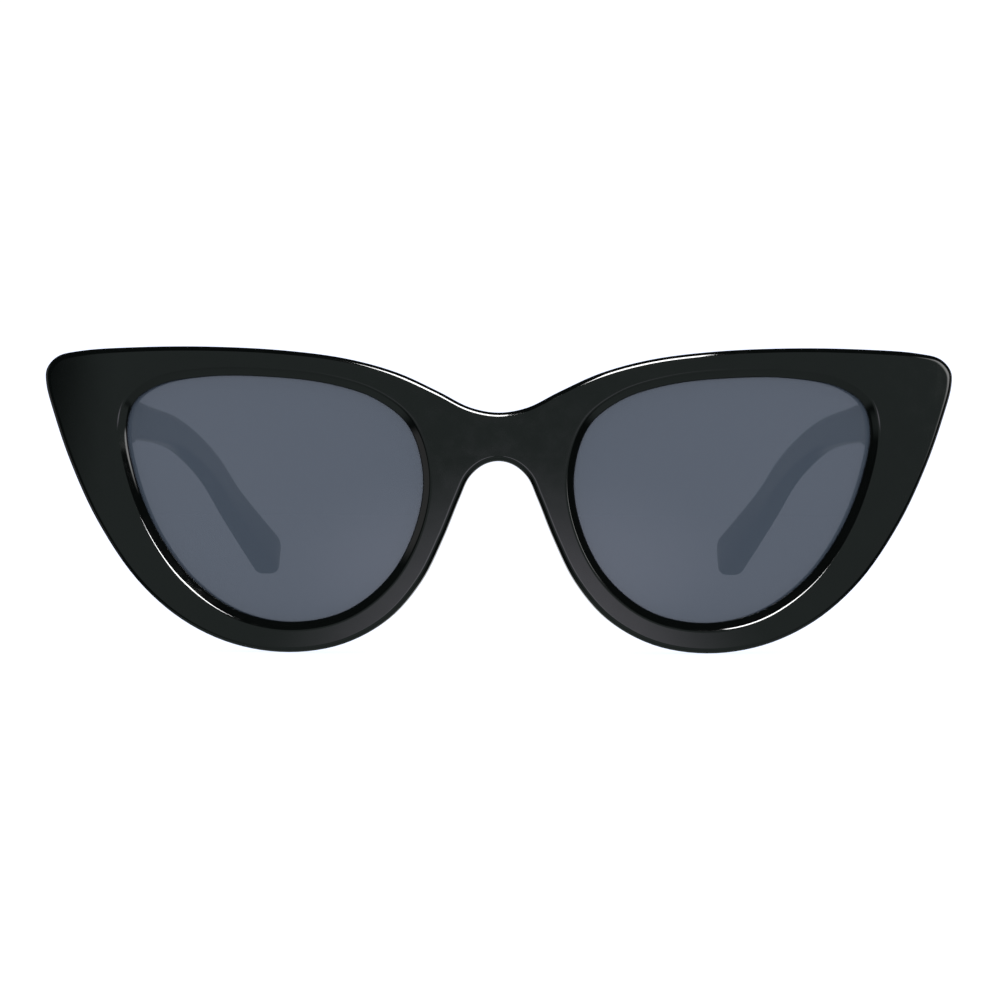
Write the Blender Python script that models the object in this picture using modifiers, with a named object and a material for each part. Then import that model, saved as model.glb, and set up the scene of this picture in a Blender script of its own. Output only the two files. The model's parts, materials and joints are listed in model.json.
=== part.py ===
"""Cat eye sunglasses: a bowed front, two tinted lenses and two temples on screw hinges.

Metres, +Z up. The front faces -Y and the open temples run back towards +Y. The origin lies on
the surface that the rims stand on, under the middle of the open pair. Left and right are the
wearer's own sides, so everything named left is at +X.
"""

import math

import bmesh
import bpy
import numpy as np
from mathutils import Matrix
from mathutils import Vector

MM = 0.001

# Where the front stands: its face at the bridge, and half of its height
FRONT_Y = -76.5 * MM
MIDDLE_Z = 24.1 * MM

# Front: a plate bent round an upright cylinder
BOW_RADIUS = 260.0 * MM
FRONT_THICK = 4.4 * MM
EDGE_ROUND = 0.6 * MM
OUTLINE_STEPS = 2
RIM_RINGS = 3
LENS_CENTRE = (35.5, 2.0)
EVENING_ROUNDS = 12

# Half of the front's outline, from the top of the bridge round to its underside.
# Millimetres: across from the middle of the bridge, and up from the middle height.
FRONT_OUTLINE = (
    (0.0, 13.7), (4.5, 14.5), (9.5, 17.0), (16.0, 19.95), (24.0, 22.15), (34.0, 23.5),
    (46.0, 24.2), (58.0, 24.25), (67.5, 23.8), (71.4, 22.95), (73.2, 21.0), (73.3, 18.6),
    (71.8, 13.3), (69.0, 5.7), (64.5, -3.5), (57.8, -12.9), (50.3, -19.2), (42.0, -22.9),
    (33.0, -24.1), (24.4, -22.7), (17.3, -18.75), (12.2, -12.9), (8.85, -6.3),
    (6.15, 0.3), (4.6, 3.6), (2.4, 5.5), (0.0, 6.1),
)
# The lens opening, as it shows from the front, in the same millimetres
LENS_OUTLINE = (
    (11.95, 4.0), (14.3, 11.6), (19.5, 15.8), (27.0, 18.2), (36.0, 19.3), (46.5, 19.45),
    (54.6, 18.1), (58.5, 15.5), (59.75, 11.2), (58.3, 3.4), (54.6, -5.2), (48.8, -12.7),
    (41.2, -17.7), (32.5, -19.3), (24.0, -17.45), (17.2, -12.0), (13.1, -4.2),
)

# Lens, held in a groove all round the opening
LENS_THICK = 1.5 * MM
LENS_SETBACK = 1.45 * MM
LENS_REACH = 0.8 * MM
LENS_DOME = 0.7 * MM
LENS_RINGS = 3
LENS_STEPS = 3

# Clearances: between glued or nested pieces, and round a screw or pin
GAP = 0.3 * MM
WELD = 0.01 * MM
PIN_GAP = 0.06 * MM
HEAD_GAP = 0.1 * MM

# Hinge axis, upright: across from the middle, back from the bridge, up from the middle height
HINGE_X = 64.0 * MM
HINGE_BACK = 20.6 * MM
HINGE_UP = 14.4 * MM
# The open temples converge by this much
LET_BACK = math.radians(4.0)

# Hinge leaves. Each lies this far from the axis, and its knuckles stand on it.
LEAF_FACE = 1.5 * MM
LEAF_THICK = 0.9 * MM
LEAF_BACK = 1.25 * MM
LEAF_TALL = 7.5 * MM
FRONT_LEAF_LONG = 3.9 * MM
TEMPLE_LEAF_LONG = 7.0 * MM
KNUCKLE_RADIUS = 1.25 * MM
KNUCKLES = 5
KNUCKLE_SPACE = 0.2 * MM
PIN_RADIUS = 0.7 * MM
PIN_HEAD_RADIUS = 1.1 * MM
PIN_HEAD_TALL = 0.55 * MM
SEAT = 1.6 * MM

# Small screws that hold the leaves
FIX_RADIUS = 0.5 * MM
FIX_HEAD_RADIUS = 0.85 * MM
FIX_HEAD_TALL = 0.4 * MM
FIX_LONG = 2.7 * MM
FIX_APART = 4.2 * MM
FRONT_FIX_OUT = 2.8 * MM
TEMPLE_FIX_OUT = 4.6 * MM
SLOT_WIDE = 0.3 * MM
SLOT_DEEP = 0.22 * MM

# End piece: the block behind the corner of the front, which the temple butts against
ENDPIECE_IN = 4.5 * MM
ENDPIECE_LONG = 9.0 * MM
ENDPIECE_TALL = 10.6 * MM

# Temple: run back from the axis, rise, inward curve, height and thickness, in millimetres
TEMPLE_STATIONS = (
    (-1.3, 0.0, 0.0, 10.2, 4.0), (14.0, -0.1, 0.0, 8.4, 4.0), (34.0, -0.5, 0.0, 6.5, 3.8),
    (58.0, -1.6, 0.2, 6.0, 3.7), (78.0, -5.1, 0.7, 6.3, 3.8), (92.0, -9.2, 1.3, 6.7, 3.9),
    (104.0, -14.9, 2.4, 7.3, 4.1), (117.0, -21.1, 4.2, 8.6, 4.6), (128.6, -26.5, 5.9, 9.6, 5.4),
)
TEMPLE_STEPS = 3
TEMPLE_THICK = 4.0 * MM
TIP_LONG = 4.4 * MM
TIP_STEPS = 4
TIP_BLUNT = 0.5
CORNER_STEPS = 3
# A corner's radius as a share of the thickness, and the most it takes of the height
CORNER_ROUND = 0.28
CORNER_MOST = 0.45

# Core wire inside each temple
WIRE_RADIUS = 0.6 * MM
WIRE_SIDES = 8
WIRE_OUTWARD = 0.45 * MM
WIRE_START = 1
WIRE_END = -4

# Nose pads, glued behind the nasal rims
PAD_CENTRE = (11.6, -7.2)
PAD_HALF = (1.7 * MM, 5.2 * MM, 6.8 * MM)
PAD_LEAN = math.radians(24.0)
PAD_SINK = 0.2 * MM

ROUND_SIDES = 16
LEFT = 1
RIGHT = -1
SIDES = (("left", LEFT), ("right", RIGHT))


def clear_scene():
    for item in list(bpy.data.objects):
        bpy.data.objects.remove(item, do_unlink=True)


def make_collection(name):
    group = bpy.data.collections.new(name)
    bpy.context.scene.collection.children.link(group)
    return group


def make_material(name, colour, roughness, metallic=0.0):
    material = bpy.data.materials.new(name)
    material.use_nodes = True
    shader = material.node_tree.nodes["Principled BSDF"]
    shader.inputs["Base Color"].default_value = (*colour, 1.0)
    shader.inputs["Roughness"].default_value = roughness
    shader.inputs["Metallic"].default_value = metallic
    return material


def spline(points, steps):
    """A smooth curve through the points. The first and last only steer its ends."""
    knots = np.asarray(points, float)
    spans = np.linalg.norm(np.diff(knots, axis=0), axis=1)[:, None] ** 0.5
    slopes = np.diff(knots, axis=0) / spans
    tangents = (slopes[:-1] * spans[1:] + slopes[1:] * spans[:-1]) / (spans[:-1] + spans[1:])
    curve = []
    for i in range(1, len(knots) - 2):
        for step in range(steps):
            u = step / steps
            start = knots[i] * (1 + 2 * u) + tangents[i - 1] * spans[i] * u
            end = knots[i + 1] * (3 - 2 * u) + tangents[i] * spans[i] * (u - 1)
            curve.append(start * (1 - u) ** 2 + end * u ** 2)
    curve.append(knots[-2])
    return np.array(curve)


def closed_spline(points, steps):
    return spline((points[-1], *points, points[0], points[1]), steps)[:-1]


def front_edge():
    """Half of the outline of the front, closed down the middle of the bridge."""
    first = (-FRONT_OUTLINE[1][0], FRONT_OUTLINE[1][1])
    last = (-FRONT_OUTLINE[-2][0], FRONT_OUTLINE[-2][1])
    curve = spline((first, *FRONT_OUTLINE, last), OUTLINE_STEPS)
    middle = np.linspace(curve[-1], curve[0], RIM_RINGS + 1)[1:-1]
    return np.vstack((curve, middle))


def lens_edge(grow):
    """The lens opening, made larger all round by grow (in metres)."""
    curve = closed_spline(LENS_OUTLINE, LENS_STEPS)
    along = np.roll(curve, -1, axis=0) - np.roll(curve, 1, axis=0)
    along /= np.linalg.norm(along, axis=1)[:, None]
    outward = np.column_stack((-along[:, 1], along[:, 0]))
    return curve + outward * grow / MM


def evened(angles):
    """The same full turn of angles, with crowded ones moved apart."""
    turn = math.copysign(math.tau, angles[-1] - angles[0])
    for _round in range(EVENING_ROUNDS):
        ahead = np.append(angles[1:], angles[0] + turn)
        behind = np.append(angles[-1] - turn, angles[:-1])
        angles = (ahead + behind + 2 * angles) / 4
    return angles


def facing(edge, outer):
    """Points of an edge round the lens centre, one facing each point of the outer edge."""
    spokes = edge - LENS_CENTRE
    aims = outer - LENS_CENTRE
    angles = np.arctan2(spokes[:, 1], spokes[:, 0])
    wanted = evened(np.unwrap(np.arctan2(aims[:, 1], aims[:, 0])))
    reach = np.interp(wanted, angles, np.hypot(*spokes.T), period=math.tau)
    return LENS_CENTRE + reach[:, None] * np.column_stack((np.cos(wanted), np.sin(wanted)))


def bow(across):
    """How far back the face of the front lies, at a distance from the middle."""
    return BOW_RADIUS - math.sqrt(BOW_RADIUS ** 2 - across ** 2)


def on_front(point, depth):
    """World place of an outline point, at a depth behind the face of the front."""
    across = point[0] * MM
    slant = across / BOW_RADIUS
    back = bow(across) + depth * math.sqrt(1 - slant ** 2)
    return Vector((across - depth * slant, FRONT_Y + back, MIDDLE_Z + point[1] * MM))


def band(mesh, inner, outer):
    """Quads between two closed rows of vertices."""
    for i in range(len(inner)):
        j = (i + 1) % len(inner)
        mesh.faces.new((inner[i], inner[j], outer[j], outer[i]))


def loft(rings):
    """A closed solid skinned over rings of points, flat at both ends."""
    mesh = bmesh.new()
    rows = [[mesh.verts.new(point) for point in ring] for ring in rings]
    for near, far in zip(rows, rows[1:]):
        band(mesh, near, far)
    mesh.faces.new(rows[0])
    mesh.faces.new(rows[-1])
    bmesh.ops.recalc_face_normals(mesh, faces=mesh.faces)
    return mesh


def box(low, high):
    """A box between two corners."""
    mesh = bmesh.new()
    bmesh.ops.create_cube(mesh, size=1.0)
    low = Vector(low)
    high = Vector(high)
    bmesh.ops.scale(mesh, vec=high - low, verts=mesh.verts)
    bmesh.ops.translate(mesh, vec=(high + low) / 2, verts=mesh.verts)
    return mesh


def cylinder(radius, low, high, sides=ROUND_SIDES):
    """An upright cylinder about the Z axis."""
    mesh = bmesh.new()
    bmesh.ops.create_cone(
        mesh, cap_ends=True, segments=sides, radius1=radius, radius2=radius, depth=high - low
    )
    bmesh.ops.translate(mesh, vec=(0, 0, (high + low) / 2), verts=mesh.verts)
    return mesh


def add_mesh(name, mesh, group, material=None, side=LEFT, parent=None, place=None):
    """An object from a mesh made for the left side; the right side's is its mirror image."""
    if side == RIGHT:
        bmesh.ops.scale(mesh, vec=(-1, 1, 1), verts=mesh.verts)
        bmesh.ops.reverse_faces(mesh, faces=mesh.faces)
    data = bpy.data.meshes.new(name)
    mesh.to_mesh(data)
    mesh.free()
    if material:
        data.materials.append(material)
    item = bpy.data.objects.new(name, data)
    group.objects.link(item)
    if parent:
        item.parent = parent
    if place:
        item.location, item.rotation_euler.z = place
    return item


def add_cutter(name, mesh, group, **where):
    item = add_mesh(name, mesh, group, **where)
    item.hide_render = True
    item.display_type = "WIRE"
    return item


def combine(item, other, operation="DIFFERENCE"):
    modifier = item.modifiers.new(other.name, "BOOLEAN")
    modifier.operation = operation
    modifier.object = other
    modifier.solver = "EXACT"


def round_edges(item, width, segments=1, angle=math.radians(50)):
    modifier = item.modifiers.new("Rounded edges", "BEVEL")
    modifier.width = width
    modifier.segments = segments
    modifier.angle_limit = angle


def hinge_place(side):
    """Where the hinge's own frame sits: on the axis, turned to the temple's run."""
    place = (side * HINGE_X, FRONT_Y + HINGE_BACK, MIDDLE_Z + HINGE_UP)
    return place, side * LET_BACK


def front_sheet():
    """Half of the face of the front, with its lens opening."""
    outer = front_edge()
    inner = facing(lens_edge(0.0), outer)
    mesh = bmesh.new()
    rows = []
    for part in np.linspace(0.0, 1.0, RIM_RINGS + 1):
        ring = inner + (outer - inner) * part
        rows.append([mesh.verts.new(on_front(point, 0.0)) for point in ring])
    for near, far in zip(rows, rows[1:]):
        band(mesh, near, far)
    return mesh


def lens_solid(grow, front_depth, back_depth, dome):
    """A lens-shaped solid between two depths behind the face of the front."""
    edge = lens_edge(grow)
    mesh = bmesh.new()
    faces = []
    for depth in (front_depth, back_depth):
        rows = []
        for ring in range(LENS_RINGS, 0, -1):
            part = ring / LENS_RINGS
            level = depth - dome * (1 - part ** 2)
            points = LENS_CENTRE + (edge - LENS_CENTRE) * part
            rows.append([mesh.verts.new(on_front(point, level)) for point in points])
        for near, far in zip(rows, rows[1:]):
            band(mesh, near, far)
        middle = mesh.verts.new(on_front(LENS_CENTRE, depth - dome))
        for i, vertex in enumerate(rows[-1]):
            mesh.faces.new((middle, rows[-1][i - 1], vertex))
        faces.append(rows[0])
    band(mesh, *faces)
    bmesh.ops.recalc_face_normals(mesh, faces=mesh.faces)
    return mesh


def add_front(parts, cutters, acetate):
    front = add_mesh("front_frame", front_sheet(), parts, acetate)
    mirror = front.modifiers.new("Other half", "MIRROR")
    mirror.merge_threshold = WELD
    shell = front.modifiers.new("Plate", "SOLIDIFY")
    shell.thickness = FRONT_THICK
    shell.offset = -1.0
    shell.use_even_offset = True
    round_edges(front, EDGE_ROUND)
    for name, side in SIDES:
        endpiece = add_cutter(
            "endpiece_" + name, endpiece_block(), cutters, side=side, place=hinge_place(side)
        )
        round_edges(endpiece, EDGE_ROUND)
        combine(front, endpiece, "UNION")
    for name, side in SIDES:
        groove = lens_solid(
            LENS_REACH + GAP, LENS_SETBACK - GAP, LENS_SETBACK + LENS_THICK + GAP, 0.0
        )
        combine(front, add_cutter("lens_groove_" + name, groove, cutters, side=side))
        for tool, mesh in leaf_pockets(FRONT_LEAF_LONG, FRONT_FIX_OUT, LEAF_BACK + GAP):
            cutter = add_cutter(
                tool + "_front_" + name, turn_to_front(mesh), cutters, side=side,
                place=hinge_place(side),
            )
            combine(front, cutter)
    return front


def add_lenses(parts, tinted):
    for name, side in SIDES:
        mesh = lens_solid(LENS_REACH, LENS_SETBACK, LENS_SETBACK + LENS_THICK, LENS_DOME)
        add_mesh("lens_" + name, mesh, parts, tinted, side=side)


def add_nose_pads(parts, acetate):
    """Half an egg, flat against the back of the rim, leaning with the side of the nose."""
    for name, side in SIDES:
        mesh = bmesh.new()
        bmesh.ops.create_uvsphere(mesh, u_segments=16, v_segments=10, radius=1.0)
        bmesh.ops.scale(mesh, vec=PAD_HALF, verts=mesh.verts)
        bmesh.ops.rotate(mesh, matrix=Matrix.Rotation(-PAD_LEAN, 3, "Y"), verts=mesh.verts)
        centre = on_front(PAD_CENTRE, FRONT_THICK + GAP + PAD_SINK)
        bmesh.ops.translate(mesh, vec=centre, verts=mesh.verts)
        everything = mesh.verts[:] + mesh.edges[:] + mesh.faces[:]
        bmesh.ops.bisect_plane(
            mesh, geom=everything, plane_co=centre, plane_no=(0, 1, 0), clear_inner=True
        )
        bmesh.ops.holes_fill(mesh, edges=mesh.edges)
        bmesh.ops.recalc_face_normals(mesh, faces=mesh.faces)
        add_mesh("nose_pad_" + name, mesh, parts, acetate, side=side)


def endpiece_block():
    return box(
        (-ENDPIECE_IN, -SEAT - ENDPIECE_LONG, -ENDPIECE_TALL / 2),
        (SEAT + TEMPLE_THICK, -SEAT, ENDPIECE_TALL / 2),
    )


def turn_to_front(mesh):
    """Leaf geometry is drawn along +X with the plate at +Y; the front leaf faces the other way."""
    bmesh.ops.rotate(mesh, matrix=Matrix.Rotation(math.pi, 3, "Z"), verts=mesh.verts)
    return mesh


def turn_to_temple(mesh):
    """The temple's leaf runs along +Y with its plate at +X."""
    bmesh.ops.rotate(mesh, matrix=Matrix.Rotation(math.pi / 2, 3, "Z"), verts=mesh.verts)
    bmesh.ops.scale(mesh, vec=(-1, 1, 1), verts=mesh.verts)
    bmesh.ops.reverse_faces(mesh, faces=mesh.faces)
    return mesh


def leaf_pockets(reach, fix_out, back):
    """Cutters for a leaf's recess and for the holes of its two screws."""
    high = LEAF_TALL / 2 + GAP
    recess = box((-back, 0.0, -high), (reach + GAP, LEAF_FACE + LEAF_THICK + GAP, high))
    yield "recess", recess
    for name, rise in fix_heights():
        hole = cylinder(FIX_RADIUS + PIN_GAP, -LEAF_FACE - LEAF_THICK - FIX_LONG, 0.0)
        yield "hole_" + name, aim_fix(hole, fix_out, rise)


def fix_heights():
    return (("upper", FIX_APART / 2), ("lower", -FIX_APART / 2))


def aim_fix(mesh, fix_out, rise):
    """Lays an upright screw or hole down, with its head towards the axis."""
    bmesh.ops.rotate(mesh, matrix=Matrix.Rotation(math.pi / 2, 3, "X"), verts=mesh.verts)
    bmesh.ops.translate(mesh, vec=(fix_out, 0, rise), verts=mesh.verts)
    return mesh


def knuckle_spans(first):
    """Heights of every second knuckle, from the first one."""
    step = (LEAF_TALL + KNUCKLE_SPACE) / KNUCKLES
    for i in range(first, KNUCKLES, 2):
        low = -LEAF_TALL / 2 + i * step
        yield low, low + step - KNUCKLE_SPACE


def knuckle(low, high):
    """A barrel about the axis, with a web down to the plate."""
    foot = LEAF_FACE + LEAF_THICK / 2
    outline = [(KNUCKLE_RADIUS, foot), (-KNUCKLE_RADIUS, foot)]
    for i in range(ROUND_SIDES // 2 + 1):
        turn = math.pi + math.pi * i / (ROUND_SIDES // 2)
        outline.append((KNUCKLE_RADIUS * math.cos(turn), KNUCKLE_RADIUS * math.sin(turn)))
    return loft([[(x, y, level) for x, y in outline] for level in (low, high)])


def add_leaf(name, side, first, reach, fix_out, turn, parts, cutters, metal, **where):
    """A hinge leaf: a plate, its knuckles, the pin's bore and two screw holes."""
    high = LEAF_TALL / 2
    plate = box((-LEAF_BACK, LEAF_FACE, -high), (reach, LEAF_FACE + LEAF_THICK, high))
    leaf = add_mesh(name, turn(plate), parts, metal, side=side, **where)
    for i, (low, top) in enumerate(knuckle_spans(first)):
        mesh = turn(knuckle(low, top))
        barrel = add_cutter(f"{name}_knuckle_{i + 1}", mesh, cutters, side=side, **where)
        combine(leaf, barrel, "UNION")
    bore = cylinder(PIN_RADIUS + PIN_GAP, -LEAF_TALL, LEAF_TALL)
    combine(leaf, add_cutter(name + "_bore", bore, cutters, side=side, **where))
    for hole_name, rise in fix_heights():
        hole = cylinder(FIX_RADIUS + PIN_GAP, -LEAF_TALL, 0.0)
        mesh = turn(aim_fix(hole, fix_out, rise))
        hole = add_cutter(f"{name}_hole_{hole_name}", mesh, cutters, side=side, **where)
        combine(leaf, hole)


def screw_solid(radius, head_radius, head_tall, under_head, point):
    """A headed pin about Z, head up, as a spun profile with a slot across the head."""
    top = under_head + head_tall
    edge = head_tall / 3
    profile = (
        (0.0, top), (head_radius - edge, top), (head_radius, top - edge),
        (head_radius, under_head), (radius, under_head), (radius, point), (0.0, point),
    )
    mesh = bmesh.new()
    row = [mesh.verts.new((x, 0.0, z)) for x, z in profile]
    edges = [mesh.edges.new(pair) for pair in zip(row, row[1:])]
    bmesh.ops.spin(
        mesh, geom=row + edges, axis=(0, 0, 1), cent=(0, 0, 0), angle=math.tau,
        steps=ROUND_SIDES, use_merge=True,
    )
    bmesh.ops.remove_doubles(mesh, verts=mesh.verts, dist=WELD)
    bmesh.ops.recalc_face_normals(mesh, faces=mesh.faces)
    return mesh


def slot_solid(head_radius, top):
    reach = head_radius * 2
    return box((-reach, -SLOT_WIDE / 2, top - SLOT_DEEP), (reach, SLOT_WIDE / 2, top + SLOT_DEEP))


def add_fixings(name, side, fix_out, turn, parts, cutters, metal, **where):
    """The two small screws of one leaf, heads towards the axis."""
    under = HEAD_GAP - LEAF_FACE
    tip = -LEAF_FACE - LEAF_THICK - FIX_LONG + GAP
    for fix_name, rise in fix_heights():
        full = f"{name}_{fix_name}"
        turned = []
        for mesh in (
            screw_solid(FIX_RADIUS, FIX_HEAD_RADIUS, FIX_HEAD_TALL, under, tip),
            slot_solid(FIX_HEAD_RADIUS, under + FIX_HEAD_TALL),
        ):
            turned.append(turn(aim_fix(mesh, fix_out, rise)))
        screw = add_mesh(full, turned[0], parts, metal, side=side, **where)
        combine(screw, add_cutter(full + "_slot", turned[1], cutters, side=side, **where))


def add_hinges(parts, cutters, metal, axes):
    for name, side in SIDES:
        fixed = {"place": hinge_place(side)}
        moving = {"parent": axes[name]}
        kit = (parts, cutters, metal)
        add_leaf("front_hinge_leaf_" + name, side, 0, FRONT_LEAF_LONG, FRONT_FIX_OUT,
                 turn_to_front, *kit, **fixed)
        add_leaf("temple_hinge_leaf_" + name, side, 1, TEMPLE_LEAF_LONG, TEMPLE_FIX_OUT,
                 turn_to_temple, *kit, **moving)
        add_fixings("front_leaf_screw_" + name, side, FRONT_FIX_OUT, turn_to_front,
                    *kit, **fixed)
        add_fixings("temple_leaf_screw_" + name, side, TEMPLE_FIX_OUT, turn_to_temple,
                    *kit, **moving)
        under = LEAF_TALL / 2 + HEAD_GAP
        pin = screw_solid(PIN_RADIUS, PIN_HEAD_RADIUS, PIN_HEAD_TALL, under, -LEAF_TALL / 2)
        pin = add_mesh("hinge_screw_" + name, pin, parts, metal, side=side, **fixed)
        slot = slot_solid(PIN_HEAD_RADIUS, under + PIN_HEAD_TALL)
        combine(pin, add_cutter("hinge_slot_" + name, slot, cutters, side=side, **fixed))


def temple_stations():
    """Centre, direction, height and thickness at each section of the temple."""
    rows = np.array(TEMPLE_STATIONS)
    guides = (2 * rows[0] - rows[1], 2 * rows[-1] - rows[-2])
    curve = spline((guides[0], *rows, guides[1]), TEMPLE_STEPS) * MM
    ahead = np.gradient(curve[:, :2], axis=0)
    ahead /= np.linalg.norm(ahead, axis=1)[:, None]
    stations = []
    for (run, rise, inward, tall, thick), way in zip(curve, ahead):
        centre = Vector((SEAT + TEMPLE_THICK / 2 - inward, run, rise))
        stations.append((centre, Vector((0.0, *way)), tall, thick))
    centre, way, tall, thick = stations[-1]
    drift = (centre - stations[-2][0]).normalized()
    for i in range(1, TIP_STEPS + 1):
        turn = math.pi / 2 * i / (TIP_STEPS + TIP_BLUNT)
        end = centre + drift * TIP_LONG * math.sin(turn)
        size = math.cos(turn)
        stations.append((end, way, tall * size, thick * math.sqrt(size)))
    return stations


def temple_section(centre, way, tall, thick):
    """A rounded rectangle across the temple's run."""
    up = Vector((0.0, -way.z, way.y))
    out = Vector((1.0, 0.0, 0.0))
    reach = min(thick * CORNER_ROUND, tall * CORNER_MOST)
    ring = []
    for corner in range(4):
        start = corner * math.pi / 2
        middle = start + math.pi / 4
        mid_out = math.copysign(thick / 2 - reach, math.cos(middle))
        mid_up = math.copysign(tall / 2 - reach, math.sin(middle))
        for i in range(CORNER_STEPS):
            turn = start + math.pi / 2 * i / (CORNER_STEPS - 1)
            across = mid_out + reach * math.cos(turn)
            rise = mid_up + reach * math.sin(turn)
            ring.append(centre + out * across + up * rise)
    return ring


def round_section(centre, way, radius):
    up = Vector((0.0, -way.z, way.y))
    ring = []
    for i in range(WIRE_SIDES):
        turn = math.tau * i / WIRE_SIDES
        across = Vector((radius * math.cos(turn) + WIRE_OUTWARD, 0.0, 0.0))
        ring.append(centre + across + up * radius * math.sin(turn))
    return ring


def add_temples(parts, cutters, acetate, steel, axes):
    stations = temple_stations()
    body = stations[:-TIP_STEPS]
    wire_run = body[WIRE_START:WIRE_END]
    bore_run = body[:WIRE_END + 1]
    mouth = (body[0][0] - Vector((0.0, TIP_LONG, 0.0)), *body[0][1:])
    for name, side in SIDES:
        where = {"side": side, "parent": axes[name]}
        solid = loft([temple_section(*station) for station in stations])
        temple = add_mesh("temple_" + name, solid, parts, acetate, **where)
        bore = loft([
            round_section(centre, way, WIRE_RADIUS + GAP)
            for centre, way, _tall, _thick in (mouth, *bore_run)
        ])
        combine(temple, add_cutter("wire_bore_" + name, bore, cutters, **where))
        for tool, mesh in leaf_pockets(TEMPLE_LEAF_LONG, TEMPLE_FIX_OUT, LEAF_TALL):
            cutter = add_cutter(f"{tool}_temple_{name}", turn_to_temple(mesh), cutters, **where)
            combine(temple, cutter)
        wire = loft([
            round_section(centre, way, WIRE_RADIUS) for centre, way, _tall, _thick in wire_run
        ])
        add_mesh("core_wire_" + name, wire, parts, steel, **where)


def add_axes(parts):
    """An empty on each hinge axis, which the pieces of that temple hang from."""
    axes = {}
    for name, side in SIDES:
        axis = bpy.data.objects.new("hinge_axis_" + name, None)
        axis.location, axis.rotation_euler.z = hinge_place(side)
        axis.empty_display_size = HINGE_BACK
        parts.objects.link(axis)
        axes[name] = axis
    return axes


def main():
    clear_scene()
    parts = make_collection("cat_eye_sunglasses")
    cutters = make_collection("cutters")
    acetate = make_material("Black cellulose acetate", (0.012, 0.014, 0.014), 0.12)
    tinted = make_material("Smoke grey lens", (0.05, 0.06, 0.08), 0.05)
    metal = make_material("Nickel silver", (0.62, 0.60, 0.55), 0.3, 1.0)
    steel = make_material("Spring steel", (0.45, 0.45, 0.44), 0.4, 1.0)
    axes = add_axes(parts)
    add_front(parts, cutters, acetate)
    add_lenses(parts, tinted)
    add_nose_pads(parts, acetate)
    add_hinges(parts, cutters, metal, axes)
    add_temples(parts, cutters, acetate, steel, axes)


main()
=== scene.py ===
"""Cat eye sunglasses, finished: polished front and temples, tinted lenses, hinges and screws.

Metres, +Z up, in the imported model's own frame. The front faces -Y. Left and right are the
wearer's, so everything named left is at +X, and the right side's pieces are mirror copies.
"""

import json
import math

import bmesh
import bpy
import numpy as np
from mathutils import Matrix
from mathutils import Vector


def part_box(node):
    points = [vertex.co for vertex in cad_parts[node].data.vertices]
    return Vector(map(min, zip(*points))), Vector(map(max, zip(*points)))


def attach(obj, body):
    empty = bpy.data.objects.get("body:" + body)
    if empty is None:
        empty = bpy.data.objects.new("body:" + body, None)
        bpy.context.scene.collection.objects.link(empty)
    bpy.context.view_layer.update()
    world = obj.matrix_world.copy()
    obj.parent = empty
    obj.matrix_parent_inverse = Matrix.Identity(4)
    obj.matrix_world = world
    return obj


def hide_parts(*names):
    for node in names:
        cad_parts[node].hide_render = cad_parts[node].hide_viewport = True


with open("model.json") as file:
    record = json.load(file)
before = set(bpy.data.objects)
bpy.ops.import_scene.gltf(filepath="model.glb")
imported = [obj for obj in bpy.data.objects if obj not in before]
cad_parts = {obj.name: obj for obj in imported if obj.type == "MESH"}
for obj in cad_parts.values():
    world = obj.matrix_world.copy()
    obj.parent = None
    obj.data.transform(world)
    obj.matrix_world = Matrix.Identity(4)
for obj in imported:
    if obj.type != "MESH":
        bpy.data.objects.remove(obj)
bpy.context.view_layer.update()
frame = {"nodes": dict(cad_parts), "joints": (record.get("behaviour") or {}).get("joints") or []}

MM = 0.001

# Meshes: vertices this close are merged, and faces that meet at less than this angle are
# shaded as one. The cosines say when an edge or a face counts as lying along an axis.
WELD = 0.002 * MM
SMOOTH_BELOW = math.radians(35.0)
EDGE_ALONG = 0.99
FACE_ALONG = 0.9

# The front is a plate bent round an upright cylinder. Its face at the bridge is its foremost
# point, and the rims stand on the floor.
BOW_RADIUS = 260.0 * MM
FRONT_THICK = 4.4 * MM
FRONT_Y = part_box("front_frame")[0].y
MIDDLE_Z = 24.1 * MM

# Half of the front's outline, from the top of the bridge round to its underside.
# Millimetres: across from the middle of the bridge, and up from the middle height.
FRONT_OUTLINE = (
    (0.0, 13.7), (4.5, 14.5), (9.5, 17.0), (16.0, 19.95), (24.0, 22.15), (34.0, 23.5),
    (46.0, 24.2), (58.0, 24.25), (67.5, 23.8), (71.4, 22.95), (73.2, 21.0), (73.3, 18.6),
    (71.8, 13.3), (69.0, 5.7), (64.5, -3.5), (57.8, -12.9), (50.3, -19.2), (42.0, -22.9),
    (33.0, -24.1), (24.4, -22.7), (17.3, -18.75), (12.2, -12.9), (8.85, -6.3),
    (6.15, 0.3), (4.6, 3.6), (2.4, 5.5), (0.0, 6.1),
)
# The lens opening, in the same millimetres
LENS_OUTLINE = (
    (11.95, 4.0), (14.3, 11.6), (19.5, 15.8), (27.0, 18.2), (36.0, 19.3), (46.5, 19.45),
    (54.6, 18.1), (58.5, 15.5), (59.75, 11.2), (58.3, 3.4), (54.6, -5.2), (48.8, -12.7),
    (41.2, -17.7), (32.5, -19.3), (24.0, -17.45), (17.2, -12.0), (13.1, -4.2),
)
LENS_CENTRE = (35.5, 2.0)
# Steps of the smooth curve from one point of an outline to the next
OUTLINE_STEPS = 6
LENS_STEPS = 8
# Times that the spokes from the lens centre are evened out
EVENING_ROUNDS = 108
# Vertices down the middle of the bridge, as shares of its height from the underside
BRIDGE_SHARES = (0.04, 0.2, 0.4, 0.6, 0.8, 0.96)
# A vertex this near to the middle plane lies on it
ON_MIDDLE = 0.01 * MM

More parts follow.
